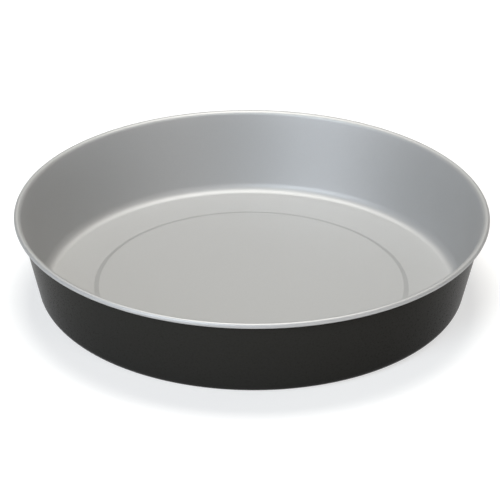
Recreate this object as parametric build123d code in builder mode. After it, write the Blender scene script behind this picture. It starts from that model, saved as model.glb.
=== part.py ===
from build123d import *
from math import cos, degrees, radians, sin
import os

# A round cake tin, pressed from one disc of coated sheet steel, with its rim rolled round a wire.
# It stands on the floor with its axis on Z. Lengths are in millimetres and angles in degrees.
#
# The silver lining, the steel and the dark outer coat are three skins of the same sheet, so all
# three are drawn from one section line, each between two depths below the silver surface. The line
# runs outwards from the tin's axis: raised panel, ring, foot, corner, wall, flare and rolled rim.

# Outer sizes of the tin
rim_diameter = 265.0
tin_height = 49.1
wall_taper = 12.0

# The sheet, from the silver surface down to the dark one
lining_thickness = 0.1
steel_thickness = 0.4
outer_coat_thickness = 0.1

# Bends of the silver surface between base and wall, and where the wall turns out to the rim
corner_radius = 6.4
flare_radius = 2.7

# The rim is rolled round a wire until the sheet's raw edge comes back beside the wall
wire_diameter = 1.3
wire_clearance = 0.14
wire_end_gap = 0.5
curl_wrap = 250.0

# The ring pressed into the base, which lifts the middle panel off the floor
ring_diameter = 176.0
panel_lift = 0.9
ring_slope = 18.0
ring_bend_radius = 2.0

# Depths of the skins' faces below the silver surface
silver_face = 0.0
steel_top_face = silver_face + lining_thickness
steel_bottom_face = steel_top_face + steel_thickness
dark_face = steel_bottom_face + outer_coat_thickness

# The rolled rim fits round its wire, and its highest circle is straight above the wire
curl_radius = wire_diameter / 2 + wire_clearance + dark_face
crest_radius = rim_diameter / 2 - curl_radius

# The wall climbs straight from the corner to the flare, leaning outwards by the taper
wall_climb = 90 - wall_taper
wall_rise = sin(radians(wall_climb))
wall_run = cos(radians(wall_climb))
wall_top_radius = crest_radius - flare_radius * wall_rise
wall_top_height = tin_height - flare_radius * (1 - wall_run)
wall_foot_height = dark_face + corner_radius * (1 - wall_run)
wall_length = (wall_top_height - wall_foot_height) / wall_rise
base_radius = wall_top_radius - wall_length * wall_run - corner_radius * wall_rise

# The ring is two equal bends with a short straight slope between them
bend_drop = ring_bend_radius * (1 - cos(radians(ring_slope)))
bend_run = ring_bend_radius * sin(radians(ring_slope))
slope_length = (panel_lift - 2 * bend_drop) / sin(radians(ring_slope))
ring_width = 2 * bend_run + slope_length * cos(radians(ring_slope))
panel_radius = (ring_diameter - ring_width) / 2
foot_width = base_radius - panel_radius - ring_width


def draw_section_line(depth):
    """Draw the section line at a depth below the silver surface, and return its two ends.

    A bend towards the silver side gets wider with depth and a bend away from it gets tighter, so
    a skin keeps its thickness all the way from the axis to the raw edge.
    """
    panel_height = dark_face + panel_lift - depth
    panel = Line((0, panel_height), (panel_radius, panel_height))
    ring_top = JernArc(panel @ 1, panel % 1, ring_bend_radius - depth, -ring_slope)
    slope = Line(ring_top @ 1, ring_top @ 1 + (ring_top % 1) * slope_length)
    ring_foot = JernArc(slope @ 1, slope % 1, ring_bend_radius + depth, ring_slope)
    foot = Line(ring_foot @ 1, ring_foot @ 1 + (ring_foot % 1) * foot_width)
    corner = JernArc(foot @ 1, foot % 1, corner_radius + depth, wall_climb)
    wall = Line(corner @ 1, corner @ 1 + (corner % 1) * wall_length)
    flare = JernArc(wall @ 1, wall % 1, flare_radius - depth, -wall_climb)
    curl = JernArc(flare @ 1, flare % 1, curl_radius - depth, -curl_wrap)
    return panel @ 0, curl @ 1


def make_skin(upper_face, lower_face):
    """Turn the strip between two depths of the sheet once round the tin's axis."""
    with BuildPart() as skin:
        with BuildSketch(Plane.XZ):
            with BuildLine():
                upper_axis_end, upper_rim_end = draw_section_line(upper_face)
                lower_axis_end, lower_rim_end = draw_section_line(lower_face)
                Line(upper_axis_end, lower_axis_end)
                Line(upper_rim_end, lower_rim_end)
            make_face()
        revolve(axis=Axis.Z)
    return skin


os.makedirs("parts", exist_ok=True)

# Steel pan: base, wall and rolled rim, pressed from one disc
steel_pan = make_skin(steel_top_face, steel_bottom_face)
steel_pan.part.label = "steel_pan"
export_step(steel_pan.part, "parts/steel_pan.step")

# Silver nonstick lining, which covers the inside and runs over the rim to the raw edge
silver_lining = make_skin(silver_face, steel_top_face)
silver_lining.part.label = "silver_lining"
export_step(silver_lining.part, "parts/silver_lining.step")

# Dark outer coat, which covers the underside, the wall's outside and the inside of the roll
dark_outer_coat = make_skin(steel_bottom_face, dark_face)
dark_outer_coat.part.label = "dark_outer_coat"
export_step(dark_outer_coat.part, "parts/dark_outer_coat.step")

# Wire ring inside the rolled rim, bent from a straight length whose two ends nearly meet
with BuildPart() as rim_wire:
    with BuildSketch(Plane.XZ):
        with Locations((crest_radius, tin_height - curl_radius)):
            Circle(wire_diameter / 2)
    revolve(axis=Axis.Z, revolution_arc=360 - degrees(wire_end_gap / crest_radius))
rim_wire.part.label = "rim_wire"
export_step(rim_wire.part, "parts/rim_wire.step")
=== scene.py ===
from math import cos, pi, radians, sin

import bpy
import numpy as np
from mathutils import Matrix, Vector


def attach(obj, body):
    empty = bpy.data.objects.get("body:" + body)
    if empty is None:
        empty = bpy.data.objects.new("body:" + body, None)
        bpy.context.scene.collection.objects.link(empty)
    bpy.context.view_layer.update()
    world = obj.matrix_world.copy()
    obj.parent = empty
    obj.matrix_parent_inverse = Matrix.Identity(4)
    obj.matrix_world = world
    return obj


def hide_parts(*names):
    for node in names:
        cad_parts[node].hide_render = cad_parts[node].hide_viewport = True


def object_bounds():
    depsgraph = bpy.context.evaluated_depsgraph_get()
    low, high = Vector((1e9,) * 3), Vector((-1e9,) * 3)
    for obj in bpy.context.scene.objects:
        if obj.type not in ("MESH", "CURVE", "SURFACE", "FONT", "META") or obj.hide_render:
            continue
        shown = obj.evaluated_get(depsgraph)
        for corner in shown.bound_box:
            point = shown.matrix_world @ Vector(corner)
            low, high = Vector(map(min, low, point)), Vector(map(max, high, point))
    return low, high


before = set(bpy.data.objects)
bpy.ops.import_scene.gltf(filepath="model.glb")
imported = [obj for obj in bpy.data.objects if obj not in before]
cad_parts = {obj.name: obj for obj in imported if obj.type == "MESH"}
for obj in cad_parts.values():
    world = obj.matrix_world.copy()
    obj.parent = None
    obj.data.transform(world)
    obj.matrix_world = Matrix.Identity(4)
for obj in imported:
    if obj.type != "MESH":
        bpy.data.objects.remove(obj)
cad_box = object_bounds()

# Camera
# A long lens just over a metre away, looking down at the tin a little from above. The picture is
# square and its horizon leans by less than half a degree.
camera_target = Vector((-0.00095, 0.0, 0.02178))
camera_distance = 1.2296
camera_elevation = radians(27.92)
camera_roll = radians(0.38)
camera_lens_mm = 156.8

view_up = Vector((0, sin(camera_elevation), cos(camera_elevation)))
view_back = Vector((0, -cos(camera_elevation), sin(camera_elevation)))
view_right = Vector((1, 0, 0))
rolled_right = view_right * cos(camera_roll) + view_up * sin(camera_roll)
rolled_up = view_up * cos(camera_roll) - view_right * sin(camera_roll)
camera_data = bpy.data.cameras.new("camera")
camera_data.lens = camera_lens_mm
camera_data.sensor_width = 36
camera_data.sensor_fit = "HORIZONTAL"
camera_data.clip_start = 0.05
camera = bpy.data.objects.new("camera", camera_data)
turn = Matrix((rolled_right, rolled_up, view_back)).transposed()
camera.matrix_world = Matrix.Translation(camera_target + view_back * camera_distance) @ turn.to_4x4()
bpy.context.collection.objects.link(camera)
bpy.context.scene.camera = camera

# Steel pan
# The tin's own sheet: 0.4 mm cold-rolled steel, coated while flat, drawn to shape in a press and
# rolled over at the rim. Bare metal shows only at the cut edge under the roll.
mm = 0.001
tin_height = cad_box[1].z - cad_box[0].z
rim_radius = 132.5 * mm
sheet_thickness = 0.6 * mm
coat_thickness = 0.1 * mm
wall_climb = radians(90 - 12)
corner_radius = 6.4 * mm
flare_radius = 2.7 * mm
curl_radius = 1.39 * mm
curl_wrap = radians(250)
ring_radius = 88 * mm
panel_lift = 0.9 * mm
ring_slope = radians(18)
ring_bend_radius = 2 * mm
crest_radius = rim_radius - curl_radius
points_round = 384
sharp_edge = radians(50)

slope_length = (panel_lift - 2 * ring_bend_radius * (1 - cos(ring_slope))) / sin(ring_slope)
ring_width = 2 * ring_bend_radius * sin(ring_slope) + slope_length * cos(ring_slope)
wall_top_height = tin_height - flare_radius * (1 - cos(wall_climb))
wall_foot_height = sheet_thickness + corner_radius * (1 - cos(wall_climb))
wall_length = (wall_top_height - wall_foot_height) / sin(wall_climb)
wall_top_radius = crest_radius - flare_radius * sin(wall_climb)
base_radius = wall_top_radius - wall_length * cos(wall_climb) - corner_radius * sin(wall_climb)
panel_radius = ring_radius - ring_width / 2
foot_width = base_radius - panel_radius - ring_width


def section_line(depth):
    """Radius and height along the sheet's section, from the axis out, at a depth in the sheet.

    The line is a chain of straight runs and round bends, each given by its length or radius, by
    how far it turns and by its number of points. Along a bend the heading turns evenly, and a
    point is the start plus the bend's radius times the change in the sine and cosine of the
    heading. Bends towards the silver side widen with depth, and the others tighten.
    """
    chain = (
        (panel_radius, 0, 12),
        (ring_bend_radius - depth, -ring_slope, 7),
        (slope_length, 0, 3),
        (ring_bend_radius + depth, ring_slope, 7),
        (foot_width, 0, 6),
        (corner_radius + depth, wall_climb, 22),
        (wall_length, 0, 8),
        (flare_radius - depth, -wall_climb, 16),
        (curl_radius - depth, -curl_wrap, 34),
    )
    spot = np.array([0.0, sheet_thickness + panel_lift - depth])
    heading = 0.0
    stretches = [spot[None]]
    for size, turned, points in chain:
        share = np.linspace(0, 1, points + 1)[1:, None]
        if turned:
            headings = heading + share * turned
            swing = np.hstack([np.sin(headings) - sin(heading), cos(heading) - np.cos(headings)])
            stretch = spot + size * np.sign(turned) * swing
        else:
            stretch = spot + share * size * np.array([cos(heading), sin(heading)])
        stretches.append(stretch)
        spot = stretch[-1]
        heading += turned
    return np.vstack(stretches)


def turned_mesh(name, outline):
    """A closed skin: an outline in radius and height, carried once round the axis.

    A point at radius r, height z and angle a round the axis lies at r cos a, r sin a, z. The two
    ends of the outline lie on the axis, so each is one point with a fan of triangles round it.
    """
    angle = np.linspace(0, 2 * pi, points_round, endpoint=False)
    radius, height = outline[1:-1, 0, None], outline[1:-1, 1, None]
    rings = np.stack([radius * np.cos(angle), radius * np.sin(angle), height + 0 * angle], axis=-1)
    poles = np.array([[0, 0, outline[0, 1]], [0, 0, outline[-1, 1]]])
    points = np.vstack([rings.reshape(-1, 3), poles])
    ring_count = len(outline) - 2
    here = np.arange(points_round)
    after = (here + 1) % points_round
    low = (np.arange(ring_count - 1) * points_round)[:, None]
    high = low + points_round
    quads = np.stack([low + here, high + here, high + after, low + after], axis=-1)
    first_pole = ring_count * points_round
    last_ring = first_pole - points_round
    first_fan = np.stack([0 * here + first_pole, here, after], axis=-1)
    last_fan = np.stack([0 * here + first_pole + 1, last_ring + after, last_ring + here], axis=-1)
    mesh = bpy.data.meshes.new(name)
    faces = quads.reshape(-1, 4).tolist() + first_fan.tolist() + last_fan.tolist()
    mesh.from_pydata(points.tolist(), [], faces)
    mesh.shade_smooth()
    mesh.set_sharp_from_angle(angle=sharp_edge)
    mesh.validate()
    return mesh


def make_skin(name, upper_face, lower_face):
    """The layer of the sheet between two depths, as an object of its own."""
    outline = np.vstack([section_line(upper_face), section_line(lower_face)[::-1]])
    skin = bpy.data.objects.new(name, turned_mesh(name, outline))
    bpy.context.collection.objects.link(skin)
    return skin


def colour(code):
    """Linear red, green, blue and alpha of an sRGB hex code."""
    parts = [int(code[place:place + 2], 16) / 255 for place in (1, 3, 5)]
    linear = [part / 12.92 if part <= 0.04045 else ((part + 0.055) / 1.055) ** 2.4 for part in parts]
    return linear + [1.0]


def add_node(tree, kind, settings=(), **sockets):
    """A node of a kind with its settings, and its sockets set to values or joined to other nodes.

    A socket goes by its name, with underscores for spaces, or by its number after an underscore.
    """
    node = tree.nodes.new(kind)
    for setting, value in dict(settings).items():
        setattr(node, setting, value)
    for socket, value in sockets.items():
        place = node.inputs[int(socket[1:]) if socket[1:].isdigit() else socket.replace("_", " ")]
        if isinstance(value, bpy.types.NodeSocket):
            tree.links.new(value, place)
        else:
            place.default_value = value
    return node


def start_material(name):
    """A new material's node tree, with its output and the object's own coordinates."""
    material = bpy.data.materials.new(name)
    material.use_nodes = True
    material.node_tree.nodes.clear()
    place = add_node(material.node_tree, "ShaderNodeTexCoord").outputs["Object"]
    return material, material.node_tree, place


steel_pan = make_skin("steel_pan_sheet", coat_thickness, sheet_thickness - coat_thickness)
# Cold-rolled mild steel: grey, with the fine lines of the rolls, a satin metal to the eye.
roll_line_width = 0.4 * mm
roll_line_depth = 0.002 * mm
roll_line_stretch = 20
steel, tree, place = start_material("cold_rolled_steel")
along_rolling = (1, 1 / roll_line_stretch, 1)
stretched = add_node(tree, "ShaderNodeMapping", Vector=place, Scale=along_rolling)
lines = add_node(tree, "ShaderNodeTexNoise", Vector=stretched.outputs[0], Scale=1 / roll_line_width)
shade = add_node(
    tree, "ShaderNodeMix", {"data_type": "RGBA"}, Factor=lines.outputs[0],
    _6=colour("#A9ABAD"), _7=colour("#B9BBBD")
)
bump = add_node(
    tree, "ShaderNodeBump", Strength=0.3, Distance=roll_line_depth, Height=lines.outputs[0]
)
bsdf = add_node(
    tree, "ShaderNodeBsdfPrincipled", Base_Color=shade.outputs[2], Metallic=1.0,
    Roughness=0.35, Normal=bump.outputs[0]
)
add_node(tree, "ShaderNodeOutputMaterial", Surface=bsdf.outputs[0])
steel_pan.data.materials.append(steel)
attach(steel_pan, "root")
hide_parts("steel_pan")

# Silver lining
# The silver-grey nonstick coat on the inside: a baked silicone-polyester lacquer full of fine
# aluminium flake, sprayed on the flat sheet. It goes over the rolled rim to the cut edge.
silver_lining = make_skin("silver_lining_coat", 0, coat_thickness)
# A satin metallic grey with no grain that a step away shows: the flakes leave a faint mottle, drawn
# coarser than they are, and the spray dries with a very shallow orange peel.
mottle_size = 0.9 * mm
peel_size = 1.6 * mm
peel_depth = 0.004 * mm
silver, tree, place = start_material("aluminium_flake_nonstick")
mottle = add_node(tree, "ShaderNodeTexNoise", Vector=place, Scale=1 / mottle_size, Detail=2)
shade = add_node(
    tree, "ShaderNodeMix", {"data_type": "RGBA"}, Factor=mottle.outputs[0],
    _6=colour("#B9B9B9"), _7=colour("#BFBFBF")
)
peel = add_node(tree, "ShaderNodeTexNoise", Vector=place, Scale=1 / peel_size, Detail=1)
bump = add_node(tree, "ShaderNodeBump", Strength=0.5, Distance=peel_depth, Height=peel.outputs[0])
polish = add_node(tree, "ShaderNodeMapRange", Value=mottle.outputs[0], To_Min=0.56, To_Max=0.6)
bsdf = add_node(
    tree, "ShaderNodeBsdfPrincipled", Base_Color=shade.outputs[2], Metallic=0.65,
    Roughness=polish.outputs[0], Specular_Tint=colour("#AAAAAA"), Normal=bump.outputs[0]
)
add_node(tree, "ShaderNodeOutputMaterial", Surface=bsdf.outputs[0])
silver_lining.data.materials.append(silver)
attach(silver_lining, "root")
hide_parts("silver_lining")

# Dark outer coat
# The near-black nonstick coat on the outside of the same sheet, satin, sprayed and baked like the
# lining. It covers the wall, the underside and the inside of the roll.
dark_coat = make_skin("dark_outer_coat_skin", sheet_thickness - coat_thickness, sheet_thickness)
# A warm near-black that looks matt head-on and satin at a slant: it mirrors little until it is seen
# nearly edge-on. It has the lining's faint mottle, and an orange peel a little softer than that one.
dark, tree, place = start_material("black_nonstick")
mottle = add_node(tree, "ShaderNodeTexNoise", Vector=place, Scale=1 / mottle_size, Detail=2)
shade = add_node(
    tree, "ShaderNodeMix", {"data_type": "RGBA"}, Factor=mottle.outputs[0],
    _6=colour("#2D2C29"), _7=colour("#333230")
)
peel = add_node(tree, "ShaderNodeTexNoise", Vector=place, Scale=1 / peel_size, Detail=1)
bump = add_node(tree, "ShaderNodeBump", Strength=0.3, Distance=peel_depth, Height=peel.outputs[0])
polish = add_node(tree, "ShaderNodeMapRange", Value=mottle.outputs[0], To_Min=0.25, To_Max=0.31)
bsdf = add_node(
    tree, "ShaderNodeBsdfPrincipled", Base_Color=shade.outputs[2], IOR=1.075,
    Roughness=polish.outputs[0], Normal=bump.outputs[0]
)
add_node(tree, "ShaderNodeOutputMaterial", Surface=bsdf.outputs[0])
dark_coat.data.materials.append(dark)
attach(dark_coat, "root")
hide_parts("dark_outer_coat")

# Rim wire
# A hard-drawn steel wire bent into a ring, which the rim is rolled round so that the edge stays
# stiff and true. Its two ends nearly meet. The roll hides it almost wholly.
wire_radius = 0.65 * mm
wire_end_gap = 0.5 * mm
wire_bends = 288
wire_sides = 20


def wire_mesh(name):
    """A round wire carried along an open circle, with a flat cut at each end.

    A point at angle a round the tin and angle b round the wire lies at radius R + r cos b and at
    height h + r sin b, where R and h are the ring's radius and height and r is the wire's radius.
    """
    along = np.linspace(0, 2 * pi - wire_end_gap / crest_radius, wire_bends)[:, None]
    around = np.linspace(0, 2 * pi, wire_sides, endpoint=False)[None]
    radius = crest_radius + wire_radius * np.cos(around)
    height = tin_height - curl_radius + wire_radius * np.sin(around) + 0 * along
    points = np.stack([radius * np.cos(along), radius * np.sin(along), height], axis=-1)
    low = (np.arange(wire_bends - 1) * wire_sides)[:, None]
    high = low + wire_sides
    here = np.arange(wire_sides)
    after = (here + 1) % wire_sides
    quads = np.stack([low + here, high + here, high + after, low + after], axis=-1)
    ends = [here.tolist(), (here[::-1] + (wire_bends - 1) * wire_sides).tolist()]
    mesh = bpy.data.meshes.new(name)
    mesh.from_pydata(points.reshape(-1, 3).tolist(), [], quads.reshape(-1, 4).tolist() + ends)
    mesh.shade_smooth()
    mesh.set_sharp_from_angle(angle=sharp_edge)
    mesh.validate()
    return mesh


rim_wire = bpy.data.objects.new("rim_wire_ring", wire_mesh("rim_wire_ring"))
bpy.context.collection.objects.link(rim_wire)
# Drawn steel wire: a smooth grey metal, a little uneven where the die's soap has dried on it.
soap_patch_size = 0.5 * mm
wire_steel, tree, place = start_material("drawn_steel_wire")
patches = add_node(tree, "ShaderNodeTexNoise", Vector=place, Scale=1 / soap_patch_size, Detail=1)
shade = add_node(
    tree, "ShaderNodeMix", {"data_type": "RGBA"}, Factor=patches.outputs[0],
    _6=colour("#9C9EA0"), _7=colour("#B0B2B4")
)
bsdf = add_node(
    tree, "ShaderNodeBsdfPrincipled", Base_Color=shade.outputs[2], Metallic=1.0, Roughness=0.3
)
add_node(tree, "ShaderNodeOutputMaterial", Surface=bsdf.outputs[0])
rim_wire.data.materials.append(wire_steel)
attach(rim_wire, "root")
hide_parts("rim_wire")

# Floor and surroundings
# A plain pale table top that carries on out of sight, and a room that is white down at the horizon
# and dark overhead, so that the softboxes do the lighting.
floor_half = 10.0
floor_drop = 0.05 * mm
floor_mesh = bpy.data.meshes.new("studio_floor")
across = np.array([(-1, -1, 0), (1, -1, 0), (1, 1, 0), (-1, 1, 0)]) * floor_half
floor_mesh.from_pydata(across.tolist(), [], [(0, 1, 2, 3)])
floor = bpy.data.objects.new("studio_floor", floor_mesh)
bpy.context.collection.objects.link(floor)
floor.location.z = -floor_drop
# Matt laminate. The camera, a shine and glass see it glow towards white, and the shadow stays on it.
laminate, tree, place = start_material("pale_matt_laminate")
path = add_node(tree, "ShaderNodeLightPath").outputs
seen = add_node(
    tree, "ShaderNodeMath", {"operation": "MAXIMUM"}, _0=path["Is Camera Ray"], _1=path["Is Glossy Ray"]
)
seen = add_node(
    tree, "ShaderNodeMath", {"operation": "MAXIMUM"}, _0=seen.outputs[0], _1=path["Is Transmission Ray"]
)
matt = add_node(tree, "ShaderNodeBsdfDiffuse", Color=colour("#B4B4B4"))
glow = add_node(tree, "ShaderNodeEmission", Strength=0.62)
both = add_node(tree, "ShaderNodeAddShader", _0=matt.outputs[0], _1=glow.outputs[0])
top_face = add_node(
    tree, "ShaderNodeMixShader", _0=seen.outputs[0], _1=matt.outputs[0], _2=both.outputs[0]
)
side = add_node(tree, "ShaderNodeNewGeometry").outputs["Backfacing"]
clear = add_node(tree, "ShaderNodeBsdfTransparent")
one_sided = add_node(
    tree, "ShaderNodeMixShader", _0=side, _1=top_face.outputs[0], _2=clear.outputs[0]
)
add_node(tree, "ShaderNodeOutputMaterial", Surface=one_sided.outputs[0])
floor_mesh.materials.append(laminate)

white_below = sin(radians(3))
dark_above = sin(radians(12))
world = bpy.data.worlds.new("plain_studio")
bpy.context.scene.world = world
world.use_nodes = True
tree = world.node_tree
tree.nodes.clear()
way = add_node(tree, "ShaderNodeTexCoord").outputs["Generated"]
height = add_node(tree, "ShaderNodeSeparateXYZ", Vector=way).outputs["Z"]
fade = add_node(
    tree, "ShaderNodeMapRange", {"interpolation_type": "SMOOTHSTEP"}, Value=height,
    From_Min=white_below, From_Max=dark_above, To_Min=1.0, To_Max=0.0
)
sky = add_node(tree, "ShaderNodeBackground", Color=colour("#FFFFFF"), Strength=fade.outputs[0])
add_node(tree, "ShaderNodeOutputWorld", Surface=sky.outputs[0])

# Lamps
# A large softbox overhead and a little behind the tin, two cooler ones on the front left, one above
# the other, and two weak warm ones, on the front right and on the right.
lamp_distance = 2.4


def add_softbox(name, azimuth, elevation, width, depth, power, tint):
    """A softbox of a power in watts, facing the tin from an azimuth and an elevation in degrees.

    The azimuth is 0 on the camera's side and 90 on its right. Width and depth are in metres.
    """
    around = radians(azimuth)
    up = radians(elevation)
    way = Vector((sin(around) * cos(up), -cos(around) * cos(up), sin(up)))
    lamp = bpy.data.lights.new(name, "AREA")
    lamp.shape = "RECTANGLE"
    lamp.size = width
    lamp.size_y = depth
    lamp.energy = power
    lamp.color = colour(tint)[:3]
    softbox = bpy.data.objects.new(name, lamp)
    softbox.location = camera_target + way * lamp_distance
    softbox.rotation_euler = way.to_track_quat("Z", "Y").to_euler()
    bpy.context.collection.objects.link(softbox)


add_softbox("overhead_softbox", 180, 78, 1.1, 0.9, 54, "#FFFDF7")
add_softbox("front_left_softbox", 322, 22, 1.0, 0.8, 25, "#F0F6FF")
add_softbox("high_left_softbox", 334, 40, 1.0, 0.8, 16, "#E4F4FF")
add_softbox("front_right_softbox", 38, 26, 0.9, 0.9, 9, "#FFF8F2")
add_softbox("right_softbox", 90, 50, 0.9, 0.9, 4, "#FFFDF7")

bpy.context.scene.view_settings.view_transform = "Standard"
